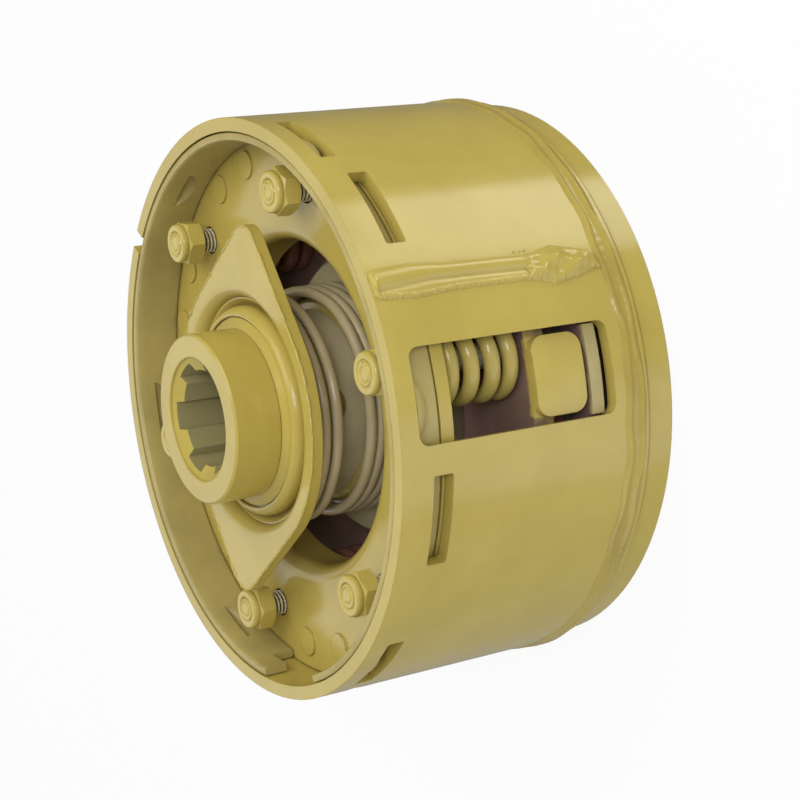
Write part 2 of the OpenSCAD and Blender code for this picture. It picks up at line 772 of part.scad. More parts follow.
module locking_ball(i) {
  color(steel) rotate([0, 0, spline_slot_a + ball_turn + i * 360 / balls]) translate([ball_cr, 0, ball_z])
    sphere(r = ball_r);
}

drum_shell();
seam_weld();
flange_weld();
rear_flange();
rear_bush();
setting_ring();
cover_plate();
intermediate_plate();
friction_disc(disc_z1);  // friction_disc_1
friction_disc(disc_z2);  // friction_disc_2
friction_disc(disc_z3);  // friction_disc_3
friction_disc(disc_z4);  // friction_disc_4
thrust_washer();
pressure_plate();
pressure_studs();
pressure_spring(0);  // spring_1
pressure_spring(1);  // spring_2
pressure_spring(2);  // spring_3
pressure_spring(3);  // spring_4
pressure_spring(4);  // spring_5
pressure_spring(5);  // spring_6
lock_nut(0);  // lock_nut_1
lock_nut(1);  // lock_nut_2
lock_nut(2);  // lock_nut_3
lock_nut(3);  // lock_nut_4
lock_nut(4);  // lock_nut_5
lock_nut(5);  // lock_nut_6
hub();
drive_plate(drive_z1);  // drive_plate_1
drive_plate(drive_z2);  // drive_plate_2
retaining_ring();
locking_sleeve();
grip_plate();
collar_spring();
locking_ball(0);  // locking_ball_1
locking_ball(1);  // locking_ball_2
locking_ball(2);  // locking_ball_3
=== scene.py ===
import math

import bmesh
import bpy
import numpy as np
from mathutils import Matrix


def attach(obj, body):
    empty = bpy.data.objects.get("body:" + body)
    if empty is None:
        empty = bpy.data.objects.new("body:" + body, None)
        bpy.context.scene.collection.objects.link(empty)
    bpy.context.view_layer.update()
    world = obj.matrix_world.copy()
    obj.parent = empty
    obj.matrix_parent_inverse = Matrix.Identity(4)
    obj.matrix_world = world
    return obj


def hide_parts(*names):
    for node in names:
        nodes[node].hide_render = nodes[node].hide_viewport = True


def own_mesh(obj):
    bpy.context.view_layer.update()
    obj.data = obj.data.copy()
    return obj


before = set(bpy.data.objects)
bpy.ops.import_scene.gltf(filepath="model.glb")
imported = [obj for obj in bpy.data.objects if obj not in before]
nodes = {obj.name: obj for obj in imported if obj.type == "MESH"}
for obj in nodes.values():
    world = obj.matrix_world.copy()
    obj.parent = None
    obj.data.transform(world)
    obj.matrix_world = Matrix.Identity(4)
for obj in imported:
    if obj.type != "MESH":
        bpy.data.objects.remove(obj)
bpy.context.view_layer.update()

# Rear flange. A turned steel plate, 176 mm across, that the drum is welded to. Its six tapped holes
# take the yoke's bolts. It is sprayed with the whole clutch in one coat of khaki gold machine enamel.


def linear(hex_colour):
    """An sRGB hex colour as linear red, green, blue and alpha: each channel c
    becomes ((c + 0.055) / 1.055) ** 2.4, or c / 12.92 where it is dark."""
    c = np.array([int(hex_colour[i:i + 2], 16) / 255 for i in (1, 3, 5)])
    c = np.where(c <= 0.04045, c / 12.92, ((c + 0.055) / 1.055) ** 2.4)
    return (*c.tolist(), 1.0)


def add(tree, kind, settings=(), links=()):
    """One node. Settings are its properties or its inputs' values, and links join
    its inputs to other sockets."""
    made = tree.nodes.new(kind)
    for key, value in dict(settings).items():
        if isinstance(key, str) and hasattr(made, key):
            setattr(made, key, value)
        else:
            made.inputs[key].default_value = value
    for key, socket in dict(links).items():
        tree.links.new(socket, made.inputs[key])
    return made


def start(name):
    """An empty material with its shader, and the socket that gives a point's place on the object."""
    made = bpy.data.materials.new(name)
    made.use_nodes = True
    tree = made.node_tree
    place = add(tree, "ShaderNodeTexCoord").outputs["Object"]
    return made, tree, tree.nodes["Principled BSDF"], place


def surface_grain(tree, place, cell_mm, depth_mm, strength, edge_mm, rough=0.0):
    """The bump of a sprayed surface: orange peel in cells of cell_mm, a grain of about
    0.7 mm where the metal is rough, and edges that the paint rounds to edge_mm."""
    edge = add(tree, "ShaderNodeBevel", {"samples": 4, "Radius": edge_mm * 0.001})
    peel = add(tree, "ShaderNodeTexNoise", {"Scale": 1000 / cell_mm, "Detail": 2.0}, {"Vector": place})
    soft = add(tree, "ShaderNodeBump", {"Strength": strength, "Distance": depth_mm * 0.001},
               {"Height": peel.outputs["Fac"], "Normal": edge.outputs["Normal"]})
    if rough == 0:
        return soft.outputs["Normal"]
    grain = add(tree, "ShaderNodeTexNoise", {"Scale": 1400.0, "Detail": 4.0}, {"Vector": place})
    return add(tree, "ShaderNodeBump", {"Strength": rough, "Distance": 0.0003},
               {"Height": grain.outputs["Fac"], "Normal": soft.outputs["Normal"]}).outputs["Normal"]


def enamel(name, face, deep, roughness=0.17, rough=0.0, under=None, bare_from=None, spread=0.012,
           lug_reach=0.0, bare_below=None, bore=None, edge_mm=0.35, inner=None):
    """Machine enamel, sprayed and air-dried: a dielectric film with a soft wide gloss. The film is
    thicker in patches of about 25 mm, which turn from the face colour to the deep one. Inside the
    radius bare_from, or below the height bare_below (both in metres), the spray thins out in
    flecks over the given spread, and the colour called under shows. At the three windows the spray
    came lug_reach deeper, and where bare_below is given it also stuck to faces that look forwards.
    Inner, a paler primer that is painted light on the deep inside, takes the place of under within 56 mm of
    the axis and fades into it by 66 mm. A bore is a radius and the colour of the steep faces inside it.
    Painted shade darkens the creases that the occlusion node finds closed in."""
    made, tree, shader, place = start(name)
    patch_mm = 25
    cloud = add(tree, "ShaderNodeTexNoise", {"Scale": 1000 / patch_mm, "Detail": 3.0, "Roughness": 0.6},
                {"Vector": place})
    share = add(tree, "ShaderNodeMapRange", {"From Min": 0.35, "From Max": 0.7},
                {"Value": cloud.outputs["Fac"]})
    colour = add(tree, "ShaderNodeMix", {"data_type": "RGBA", 6: linear(face), 7: linear(deep)},
                 {0: share.outputs[0]}).outputs[2]
    axis = add(tree, "ShaderNodeSeparateXYZ", {}, {0: place})
    flat = add(tree, "ShaderNodeVectorMath", {"operation": "MULTIPLY", 1: (1, 1, 0)}, {0: place})
    radius = add(tree, "ShaderNodeVectorMath", {"operation": "LENGTH"}, {0: flat.outputs[0]}).outputs["Value"]
    way = add(tree, "ShaderNodeSeparateXYZ", {}, {0: add(tree, "ShaderNodeTexCoord").outputs["Normal"]})
    if under:
        fleck = add(tree, "ShaderNodeTexNoise", {"Scale": 260.0, "Detail": 4.0}, {"Vector": place})
        edge = bare_below if bare_from is None else bare_from
        stray = add(tree, "ShaderNodeMath", {"operation": "MULTIPLY_ADD", 1: spread},
                    {0: fleck.outputs["Fac"], 2: axis.outputs["Z"] if bare_from is None else radius})
        if lug_reach:
            angle = add(tree, "ShaderNodeMath", {"operation": "ARCTAN2"},
                        {0: axis.outputs["Y"], 1: axis.outputs["X"]})
            third = add(tree, "ShaderNodeMath", {"operation": "MULTIPLY_ADD", 1: 3.0, 2: 1.5 * math.pi},
                        {0: angle.outputs[0]})
            near = add(tree, "ShaderNodeMath", {"operation": "COSINE"}, {0: third.outputs[0]})
            deeper = add(tree, "ShaderNodeMapRange",
                         {"From Min": 0.915, "From Max": 0.925, "To Max": lug_reach},
                         {"Value": near.outputs[0]})
            stray = add(tree, "ShaderNodeMath", {"operation": "ADD"},
                        {0: stray.outputs[0], 1: deeper.outputs[0]})
        if bare_below:
            facing = add(tree, "ShaderNodeMapRange", {"From Min": 0.5, "From Max": 0.7, "To Max": 0.02},
                         {"Value": way.outputs["Z"]})
            stray = add(tree, "ShaderNodeMath", {"operation": "ADD"},
                        {0: stray.outputs[0], 1: facing.outputs[0]})
        fringe = 0.0005
        middle = edge + spread / 2
        reach = add(tree, "ShaderNodeMapRange", {"From Min": middle - fringe, "From Max": middle + fringe},
                    {"Value": stray.outputs[0]})
        # Painted light: within 56 mm of the axis the primer turns to the paler inner colour, to brighten the
        # deep inside.
        outwards = add(tree, "ShaderNodeMapRange", {"From Min": 0.056, "From Max": 0.066}, {"Value": radius})
        primer = add(tree, "ShaderNodeMix",
                     {"data_type": "RGBA", 6: linear(inner or under), 7: linear(under)},
                     {0: outwards.outputs[0]}).outputs[2]
        patchy = add(tree, "ShaderNodeMapRange", {"To Min": 0.7, "To Max": 1.25},
                     {"Value": cloud.outputs["Fac"]})
        tint = add(tree, "ShaderNodeHueSaturation", {}, {"Color": primer, "Value": patchy.outputs[0]})
        colour = add(tree, "ShaderNodeMix", {"data_type": "RGBA"},
                     {0: reach.outputs[0], 6: tint.outputs[0], 7: colour}).outputs[2]
    if bore:
        lean = add(tree, "ShaderNodeMath", {"operation": "ABSOLUTE"}, {0: way.outputs["Z"]})
        steep = add(tree, "ShaderNodeMath", {"operation": "LESS_THAN", 1: 0.4}, {0: lean.outputs[0]})
        inside = add(tree, "ShaderNodeMath", {"operation": "LESS_THAN", 1: bore[0]}, {0: radius})
        both = add(tree, "ShaderNodeMath", {"operation": "MULTIPLY"},
                   {0: steep.outputs[0], 1: inside.outputs[0]})
        colour = add(tree, "ShaderNodeMix", {"data_type": "RGBA", 7: linear(bore[1])},
                     {0: both.outputs[0], 6: colour}).outputs[2]
    # Painted shade: where the occlusion node finds the surface closed in within 2.5 mm, the colour darkens
    # towards #4A3B28.
    open_sky = add(tree, "ShaderNodeAmbientOcclusion", {"samples": 3, "Distance": 0.0025})
    crease_shade = add(tree, "ShaderNodeMapRange", {"From Min": 0.2, "From Max": 0.6, "To Min": 0.5, "To Max": 0.0},
                {"Value": open_sky.outputs["AO"]})
    colour = add(tree, "ShaderNodeMix", {"data_type": "RGBA", 7: linear("#4A3B28")},
                 {0: crease_shade.outputs[0], 6: colour}).outputs[2]
    tree.links.new(colour, shader.inputs["Base Color"])
    film = add(tree, "ShaderNodeMapRange", {"To Min": roughness - 0.04, "To Max": roughness + 0.06},
               {"Value": cloud.outputs["Fac"]})
    tree.links.new(film.outputs[0], shader.inputs["Roughness"])
    shader.inputs["IOR"].default_value = 1.42
    tree.links.new(surface_grain(tree, place, 2.2, 0.05, 0.12, edge_mm, rough), shader.inputs["Normal"])
    return made


def dress(material, *names):
    """These CAD nodes take the material in place of their plain one."""
    for name in names:
        mesh = nodes[name].data
        mesh.materials.clear()
        mesh.materials.append(material)


gold_enamel = enamel("khaki gold machine enamel", "#BDA953", "#B5A14C")
dress(gold_enamel, "rear_flange")

# Rear bush and thrust washer. Turned bearing bronze: the bush is pressed into the
# flange and the hub's pilot turns in it, with the washer behind the hub's shoulder.
# Fine turning lines, 0.4 mm apart, run round them.
bronze, tree, shader, place = start("turned bearing bronze")
lines = add(tree, "ShaderNodeTexWave", {"wave_type": "RINGS", "rings_direction": "Z", "Scale": 780.0,
                                        "Distortion": 0.6}, {"Vector": place})
tree.links.new(add(tree, "ShaderNodeMix", {"data_type": "RGBA", 6: linear("#9C7A48"), 7: linear("#B9965C")},
                   {0: lines.outputs["Fac"]}).outputs[2], shader.inputs["Base Color"])
tree.links.new(add(tree, "ShaderNodeBump", {"Strength": 0.2, "Distance": 0.00005},
                   {"Height": lines.outputs["Fac"]}).outputs["Normal"], shader.inputs["Normal"])
shader.inputs["Metallic"].default_value = 1.0
shader.inputs["Roughness"].default_value = 0.35
dress(bronze, "rear_bush", "thrust_washer")

# Drum shell. Steel plate, 4.2 mm thick, rolled to 180 mm and joined by one seam.
# Windows and slots were punched before it was rolled.
dress(gold_enamel, "drum_shell")

# Flange weld. Beads laid right round between flange and shell and dressed smooth: a hollow
# at the flange's edge, and two soft ridges on the shell that come and go along the joint.


def quads(rows, columns, wrap_rows, wrap_columns):
    """The corner numbers of each cell of a grid of points, which may join up at its ends."""
    i = np.arange(rows * columns).reshape(rows, columns)
    if wrap_rows:
        i = np.vstack([i, i[:1]])
    if wrap_columns:
        i = np.hstack([i, i[:, :1]])
    return np.stack([i[:-1, :-1], i[1:, :-1], i[1:, 1:], i[:-1, 1:]], -1).reshape(-1, 4)


def solid(name, grids, material, sharp=40.0):
    """One mesh from grids of points in millimetres, each with its two ways of joining up. Points that
    fall together are merged, faces turned outwards, and edges kept sharp above the given angle."""
    points = []
    faces = []
    count = 0
    for grid, wrap_rows, wrap_columns in grids:
        rows, columns = grid.shape[:2]
        points.append(grid.reshape(-1, 3) * 0.001)
        faces.append(quads(rows, columns, wrap_rows, wrap_columns) + count)
        count += rows * columns
    mesh = bpy.data.meshes.new(name)
    mesh.from_pydata(np.vstack(points).tolist(), [], np.vstack(faces).tolist())
    work = bmesh.new()
    work.from_mesh(mesh)
    bmesh.ops.remove_doubles(work, verts=work.verts, dist=1e-7)
    bmesh.ops.recalc_face_normals(work, faces=work.faces)
    work.to_mesh(mesh)
    work.free()
    mesh.polygons.foreach_set("use_smooth", np.ones(len(mesh.polygons), bool))
    mesh.set_sharp_from_angle(angle=math.radians(sharp))
    mesh.materials.append(material)
    made = bpy.data.objects.new(name, mesh)
    bpy.context.scene.collection.objects.link(made)
    return made


def cylinder_points(angle, radius, height):
    """Points from angles in radians, radii and heights, of shapes that go together."""
    angle, radius, height = np.broadcast_arrays(angle, radius, height)
    return np.stack([radius * np.cos(angle), radius * np.sin(angle), height], -1)


def wander(angle, waves, seed):
    """A curve that strays by about 1 either way: a sum of sines with fixed random
    phases, the given waves a turn."""
    phase = np.random.default_rng(seed).uniform(0, 2 * np.pi, len(waves))
    return sum(np.sin(w * angle + p) for w, p in zip(waves, phase)) / math.sqrt(len(waves))


def hump(distance, width):
    """A round hump, 1 high, over a distance from its middle: e to the power of
    -(distance / width) squared."""
    return np.exp(-(distance / width) ** 2)


def eased(share):
    """A share from 0 to 1 that sets off and arrives gently: 3 times its square less twice its cube."""
    return share * share * (3 - 2 * share)


turn = np.linspace(0, 2 * np.pi, 1440, endpoint=False)[:, None]
across = np.linspace(0, 1, 27)[None]
heel_z = 9.0
toe_z = 19.3 + 0.5 * wander(turn, (5, 12, 31), 4)
weld_z = heel_z + (toe_z - heel_z) * across
# How far the ridges stand up, from 0.15 to 1.2: least at 95 degrees, and most across from it, by the seam.
strong = np.clip(0.62 - 0.75 * np.cos(turn - math.radians(95)) + 0.25 * wander(turn, (3, 7), 9), 0.15, 1.2)
# The bead climbs 2.1 mm out of the hollow, and a ridge at 14 mm and one by the toe
# lie on it, with faint ripples.
hollow_r = 88.05
flank = np.clip((weld_z - 10.3 - 0.4 * wander(turn, (6, 17), 2)) / 2.6, 0, 1)
weld_r = hollow_r + 2.1 * eased(flank)
weld_r += 0.7 * strong * hump(weld_z - 14.0 - 0.6 * wander(turn, (4, 11, 26), 5), 0.9)
weld_r += 0.45 * strong * hump(weld_z - toe_z + 1.5 - 0.5 * wander(turn, (7, 15), 6), 0.9)
weld_r += 0.2 * np.sin(np.pi * across) + 0.03 * np.sin(turn * 190 + 3 * across)
# Over its last tenth the toe sinks to just under the shell's surface.
sunk_r = 89.95
weld_r = weld_r + (sunk_r - weld_r) * np.clip((across - 0.9) / 0.1, 0, 1) ** 1.5
bed = np.array([[89.6, 18.2], [88.0, 14.0], [86.0, 11.2], [87.7, 9.1]])
bed = np.broadcast_to(bed[None], (len(turn), *bed.shape))
section = np.concatenate([np.stack([weld_r, weld_z], -1), bed], 1)
weld_enamel = enamel("enamel over the dressed weld", "#B5A14C", "#A59142", 0.2)
weld_grid = cylinder_points(turn, section[..., 0], section[..., 1])
flange_weld = solid("flange_weld_bead", [(weld_grid, True, True)], weld_enamel, 60)
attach(flange_weld, "drum")
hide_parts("flange_weld")

# Seam weld. The joint along the rolled shell: a round upper pass beside a flatter, ragged lower one,
# a lump at the flange where both were started, a run of paint at the rim and three drops of spatter.


def closed(rings):
    """A tube's rings of points, each end closed at its middle."""
    ends = np.broadcast_to(rings[[0, -1]].mean(1, keepdims=True), (2, rings.shape[1], 3))
    return np.concatenate([ends[:1], rings, ends[1:]], 0)


shell_r = 90.0
seam_at = math.radians(-68.8)
seam_z = 19.2
along = np.linspace(seam_z, 95.8, 300)[:, None]
side = np.linspace(0, 1, 53)[None]
# The bead's two edges, in mm round the shell from the seam, at stations along it.
stations = [19.2, 21, 24, 28, 33.5, 36, 41, 44, 52, 63, 71, 82, 94, 95.8]
high_edge = np.interp(along, stations, [-3.4, 0.8, 2.4, 3.4, 4.7, 4.2, 3.0, 2.7, 3.0, 3.1, 3.3, 4.4,
                                        3.6, 3.0])
low_edge = np.interp(along, stations, [-4.6, -4.4, -5.3, -6.4, -7.3, -7.6, -5.9, -5.4, -5.4, -5.3, -5.5,
                                       -6.3, -5.6, -4.6])
low_edge = low_edge + 0.16 * wander(along, (2.2, 3.9, 6.1), 3)
arc = low_edge + (high_edge - low_edge) * side
# Two passes meet in a valley: each is highest midway between it and its own edge,
# and the lower one has a lip.
valley = np.interp(along, [44, 62, 77, 93], [-2.0, -1.6, -1.5, -3.0])
upper = np.clip(1 - np.abs((2 * arc - valley - high_edge) / (high_edge - valley) / 1.06) ** 2.2, 0, 1)
lower = np.clip(1 - np.abs((2 * arc - valley - low_edge) / (valley - low_edge) / 1.1) ** 3, 0, 1)
lip = 0.28 * hump(arc - low_edge - 0.9, 0.45) * (1 + 0.5 * wander(along, (1.9, 3.1, 5.3), 8))
passes = np.maximum(1.5 * upper, 0.62 * lower + lip * lower)
# The run of paint hangs across the bead, 1.4 mm from its end at the rim.
passes = passes + 0.55 * hump(along - 94.4, 0.6) * np.clip(1 - ((arc + 2.6) / 3) ** 2, 0, 1)
# The lump: a dome over the bead's whole width, broken by waves in three directions, up to 44.3 mm.
middle = (high_edge + low_edge) / 2
half = (high_edge - low_edge) / 2
facets = 0.42 * np.sin(0.55 * along + 0.7 * arc + 1) + 0.4 * np.sin(0.36 * along - 0.95 * arc + 2) \
    + 0.07 * np.sin(1.7 * along + 0.9 * arc)
lump = (2.3 + facets) * np.clip(1 - np.abs((arc - middle) / half) ** 2.4, 0, 1)
share = np.clip((44.3 + 0.35 * np.sin(2.6 * arc) - along) / 0.9, 0, 1)
height = passes + (np.maximum(lump, passes) - passes) * eased(share)
# It starts low, its edges sink 0.04 mm under the shell's surface, and its end drops in the last 0.8 mm.
height = height * np.clip((along - seam_z) / 2.5, 0, 1) ** 0.5
fade = np.clip(np.minimum((high_edge - arc) / 0.7, (arc - low_edge) / 0.35), 0, 1) ** 0.8
height = height * fade - 0.04 * (1 - fade) - np.clip(along - 95, 0, 1) * (height + 0.9)
seam_angle = seam_at + arc / shell_r
top = cylinder_points(seam_angle, shell_r + height, along)
base = cylinder_points(seam_angle[:, ::-1], shell_r - 0.5, along)
bead_parts = [(closed(np.concatenate([top, base[:, 1:-1]], 1)), False, True)]
tilt = np.linspace(-math.pi / 2, math.pi / 2, 9)[:, None]
round_it = np.linspace(0, 2 * math.pi, 16, endpoint=False)[None]
for drop_z, drop_arc, drop_r in ((46.6, 3.8, 0.42), (44.6, 3.6, 0.3), (42.9, 3.9, 0.45)):
    flat_r = drop_r * np.cos(tilt)
    drop_angle = seam_at + (drop_arc + flat_r * np.cos(round_it)) / shell_r
    drop = cylinder_points(drop_angle, shell_r + 0.8 * drop_r * np.sin(tilt),
                           drop_z + flat_r * np.sin(round_it))
    bead_parts.append((drop, False, True))
seam = solid("seam_weld_bead", bead_parts, gold_enamel, 50)
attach(seam, "drum")
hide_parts("seam_weld")

# Disc pack. Four rings of moulded friction lining, grey-brown with fine
# brass-coloured chips, and the steel plates between them, in red-brown primer. Only
# the plate whose edge shows in the windows took some gold there.
lining, tree, shader, place = start("moulded friction lining")
chips = add(tree, "ShaderNodeTexVoronoi", {"Scale": 900.0}, {"Vector": place})
chip = add(tree, "ShaderNodeMapRange", {"From Min": 0.12, "From Max": 0.2, "To Min": 1.0, "To Max": 0.0},
           {"Value": chips.outputs["Distance"]})
tree.links.new(add(tree, "ShaderNodeMix", {"data_type": "RGBA", 6: linear("#4A463E"), 7: linear("#7A6A48")},
                   {0: chip.outputs[0]}).outputs[2], shader.inputs["Base Color"])
tree.links.new(surface_grain(tree, place, 0.8, 0.1, 0.4, 0.2), shader.inputs["Normal"])
shader.inputs["Roughness"].default_value = 0.75
dress(lining, "friction_disc_1", "friction_disc_2", "friction_disc_3", "friction_disc_4")
primed = enamel("red-brown primer with overspray", "#80574A", "#66443A", 0.42)
dress(primed, "drive_plate_1", "drive_plate_2")
edge_gold = enamel("enamel on the edge of a primed plate", "#BDB07A", "#A59760", 0.35, rough=0.5,
                   under="#8C6C68", bare_from=0.0858, spread=0.003)
dress(edge_gold, "intermediate_plate")

# Hub. A turned and milled forging with a six-spline bore, which the spray only dusted. The nose is
# gold, and so are the faces that look forwards. Below 89.5 mm the barrel deep inside is a greyish khaki.
hub_paint = enamel("enamel on the hub", "#BDA951", "#B39E48", under="#B3A780", bare_below=0.0895,
                   spread=0.003, bore=(0.0177, "#9A9060"))
dress(hub_paint, "hub")

# Locking balls. Three balls of polished bearing steel that lie in the hub and lock it to the shaft.
ball_steel, tree, shader, place = start("polished bearing steel")
haze = add(tree, "ShaderNodeTexNoise", {"Scale": 600.0}, {"Vector": place})
tree.links.new(add(tree, "ShaderNodeMapRange", {"To Min": 0.08, "To Max": 0.2},
                   {"Value": haze.outputs["Fac"]}).outputs[0], shader.inputs["Roughness"])
shader.inputs["Base Color"].default_value = linear("#C4C4C2")
shader.inputs["Metallic"].default_value = 1.0
dress(ball_steel, "locking_ball_1", "locking_ball_2", "locking_ball_3")

# Pressure plate. A cast ring that the springs press on, with three lugs in the drum's
# windows. Only the lugs and the outer edge took the gold; further in the primer shows.
# Within 56 mm of the axis the primer is painted paler, as painted light on the deep inside.
half_gold = enamel("gold over primer on the pressure plate", "#C2AF58", "#B9A551", 0.2, under="#80685A",
                   bare_from=0.0845, spread=0.002, lug_reach=0.0016, inner="#94756A")


def rounded(node, name, material, body, width_mm):
    """A copy of a CAD node, its flat faces joined up and its edges rounded, that
    rides a body in the node's place."""
    cast = nodes[node].data.copy()
    work = bmesh.new()
    work.from_mesh(cast)
    bmesh.ops.remove_doubles(work, verts=work.verts, dist=1e-6)
    bmesh.ops.dissolve_limit(work, angle_limit=math.radians(1), verts=work.verts, edges=work.edges)
    work.to_mesh(cast)
    work.free()
    cast.materials.clear()
    cast.materials.append(material)
    made = bpy.data.objects.new(name, cast)
    bpy.context.scene.collection.objects.link(made)
    edges = made.modifiers.new("rounded edges", "BEVEL")
    edges.width = width_mm * 0.001
    edges.segments = 3
    edges.limit_method = "ANGLE"
    edges.angle_limit = math.radians(50)
    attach(made, body)
    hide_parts(node)


rounded("pressure_plate", "pressure_plate_cast", half_gold, "pressure", 1.3)

# Studs. Six studs, M8, screwed into the pressure plate, with their rolled thread in sight behind the nuts.
# Pale gold lies on the crests, and dark painted shade in the roots, by each point's share of the way from
# root to crest.
stud_paint, tree, shader, place = start("enamel over rolled thread")
height_of = add(tree, "ShaderNodeAttribute", {"attribute_name": "crest"})
dust = add(tree, "ShaderNodeTexNoise", {"Scale": 900.0, "Detail": 3.0}, {"Vector": place})
stray = add(tree, "ShaderNodeMath", {"operation": "MULTIPLY_ADD", 1: 0.5, 2: -0.25},
            {0: dust.outputs["Fac"]})
painted = add(tree, "ShaderNodeMath", {"operation": "ADD"},
              {0: height_of.outputs["Fac"], 1: stray.outputs[0]})
painted = add(tree, "ShaderNodeMapRange", {"From Min": 0.25, "From Max": 0.75}, {"Value": painted.outputs[0]})
# Painted shade: the dark colour #43382A fills the thread's roots.
tree.links.new(add(tree, "ShaderNodeMix", {"data_type": "RGBA", 6: linear("#43382A"), 7: linear("#DDD2A2")},
                   {0: painted.outputs[0]}).outputs[2], shader.inputs["Base Color"])
tree.links.new(surface_grain(tree, place, 0.6, 0.02, 0.2, 0.05), shader.inputs["Normal"])
shader.inputs["Roughness"].default_value = 0.3
stud_circle_r = 70.0
stud_r = 4.0
root_r = 3.25
thread_pitch = 1.25
stud_angles = np.radians(-83.5 + 60 * np.arange(6))
stud_centres = cylinder_points(stud_angles, stud_circle_r, 0.0)
round_stud = np.linspace(0, 2 * np.pi, 40, endpoint=False)[None]
thread_z = np.linspace(77, 92.6, 188)[:, None]
# The tooth goes evenly from 0 at the crest to 1 at the root and back in one pitch,
# and winds round the stud.
tooth = np.abs(2 * np.mod(thread_z / thread_pitch - round_stud / (2 * np.pi), 1) - 1)
foot_z = 41.4
tip_z = 92.9
flat = 0 * round_stud
screw_r = np.vstack([flat, flat + 3.9, stud_r - (stud_r - root_r) * tooth, flat + 3.2, flat])
screw_z = np.vstack([[[foot_z]], [[foot_z]], thread_z, [[tip_z]], [[tip_z]]])
screw = cylinder_points(round_stud, screw_r, screw_z)
studs = solid("threaded_studs", [(screw + centre, False, True) for centre in stud_centres], stud_paint, 60)
corners = np.array([v.co[:2] for v in studs.data.vertices]) * 1000
from_axis = np.linalg.norm(corners[:, None] - stud_centres[None, :, :2], axis=-1).min(1)
crest = np.clip((from_axis - root_r) / (stud_r - root_r), 0, 1)
studs.data.attributes.new("crest", "FLOAT", "POINT").data.foreach_set("value", crest)
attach(studs, "pressure")
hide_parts("pressure_studs")

# Compression springs. Six coils of 4.8 mm wire, ground flat at both ends, gold
# where the spray reached them.


def coil(radius, wire, pitch_of, turns, first, low, high, centre, steps=40, sides=20):
    """A round wire on a helix: the centre line turns at a fixed radius and climbs as pitch_of tells,
    and a circle square to it is swept along. What passes the planes low and high is ground off."""
    u = np.linspace(0, turns, int(turns * steps) + 1)[:, None]
    a = np.radians(first) + 2 * np.pi * u
    climb = pitch_of(u)
    rise = np.gradient(climb[:, 0], u[:, 0])[:, None] / (2 * np.pi * radius)
    norm = np.sqrt(1 + rise ** 2)
    b = np.linspace(0, 2 * np.pi, sides, endpoint=False)[None]
    out = radius + wire / 2 * np.cos(b)
    lean = wire / 2 * np.sin(b)
    x = out * np.cos(a) + lean * np.sin(a) * rise / norm
    y = out * np.sin(a) - lean * np.cos(a) * rise / norm
    z = np.clip(climb + lean / norm, low, high)
    return closed(np.stack([x + centre[0], y + centre[1], z], -1))


def closed_ends(turns, end_turns, pitch, start_z, end_z):
    """The climb of a spring whose end turns lie close and whose middle turns share the rest evenly."""
    return lambda u: np.interp(u, [0, end_turns, turns - end_turns, turns],
                               [start_z, start_z + end_turns * pitch, end_z - end_turns * pitch, end_z])


spring_r = 11.1
spring_wire = 4.8
spring_turns = 4.34
end_turns = 0.9
spring_low = 48.0
spring_high = 76.0
ground_off = 1.8
first_end = 142
spring_paint = enamel("gold over primer on the springs", "#C0AF62", "#B3A050", 0.16, under="#8E604E",
                      bare_from=0.0665)
for k, (a, centre) in enumerate(zip(stud_angles, stud_centres)):
    lift = spring_wire / 2 - ground_off
    climb = closed_ends(spring_turns, end_turns, spring_wire + 0.1, spring_low + lift, spring_high - lift)
    wire = coil(spring_r, spring_wire, climb, spring_turns, math.degrees(a) + first_end, spring_low,
                spring_high, centre)
    spring = solid(f"compression_spring_{k + 1}", [(wire, False, True)], spring_paint, 50)
    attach(spring, "drum")
    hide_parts(f"spring_{k + 1}")
    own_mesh(spring)

# Cover plate. Punched steel plate with half-sheared bosses, held behind the setting ring.
dress(gold_enamel, "cover_plate")

# Setting ring. A split spring ring of 2.7 mm strip, seated in the shell in front of the cover plate. Its
# six louvers were pressed outwards and snap into the shell's slots; inside, scale shows through the enamel.
ring_enamel = enamel("machine enamel on scaled steel", "#B9A862", "#A59558", 0.3, rough=0.35)
first_louver = -92.2
louver_half = 5.9
ring_start = -167.8
ring_end = 170.2
tongue_at = 163.7
ring_back_z = 80.35
ring_front_z = 95.8
louver_angles = np.radians(first_louver + 60 * np.arange(6))
near_louvers = [first_louver + 60 * k + np.linspace(-6, 6, 61) for k in range(-1, 5)]
ring_angle = np.concatenate([np.arange(ring_start, ring_end, 1.0),
                             [ring_end, tongue_at - 0.01, tongue_at + 0.01], *near_louvers])
ring_angle = np.unique(np.round(np.radians(ring_angle), 6))[:, None]
# The strip's outline goes up the outside from the back edge over the louver to the front edge, and
# down the inside. Past tongue_at the ring is a tongue that starts at 88 mm. A louver is deepest in
# its middle and ends in two round corners: its depth is a power of 1 less the square of the share
# of the way to its end. It swells from low_z to the lanced edge at step_z as the power of a sine.
from_louver = np.abs((ring_angle - louver_angles[None] + np.pi) % (2 * np.pi) - np.pi).min(1, keepdims=True)
bulge = np.clip(1 - (from_louver / math.radians(louver_half)) ** 2, 0, 1) ** 0.6
ring_foot_z = np.where(ring_angle > math.radians(tongue_at), 88.0, ring_back_z)
step_z = 89.5
low_z = step_z - 0.15 - 4.4 * bulge
dome = np.linspace(0, 1, 13)[None]
rear_edge = np.array([[ring_back_z, 80.6, 81.0, 81.5]])
up_to_louver = 81.6 + (low_z - 81.6) * np.linspace(0, 1, 7)[None, :6]
louver = low_z + (step_z - low_z) * dome
front = np.array([[step_z + 0.02, 92, 94.9, 95.4, 95.7, ring_front_z, ring_front_z]])
behind = rear_edge.shape[1] + up_to_louver.shape[1]
swell = 4.0 * bulge * np.concatenate([np.zeros((1, behind)), np.sin(np.pi / 2 * dome) ** 0.45,
                                      np.zeros_like(front)], 1)
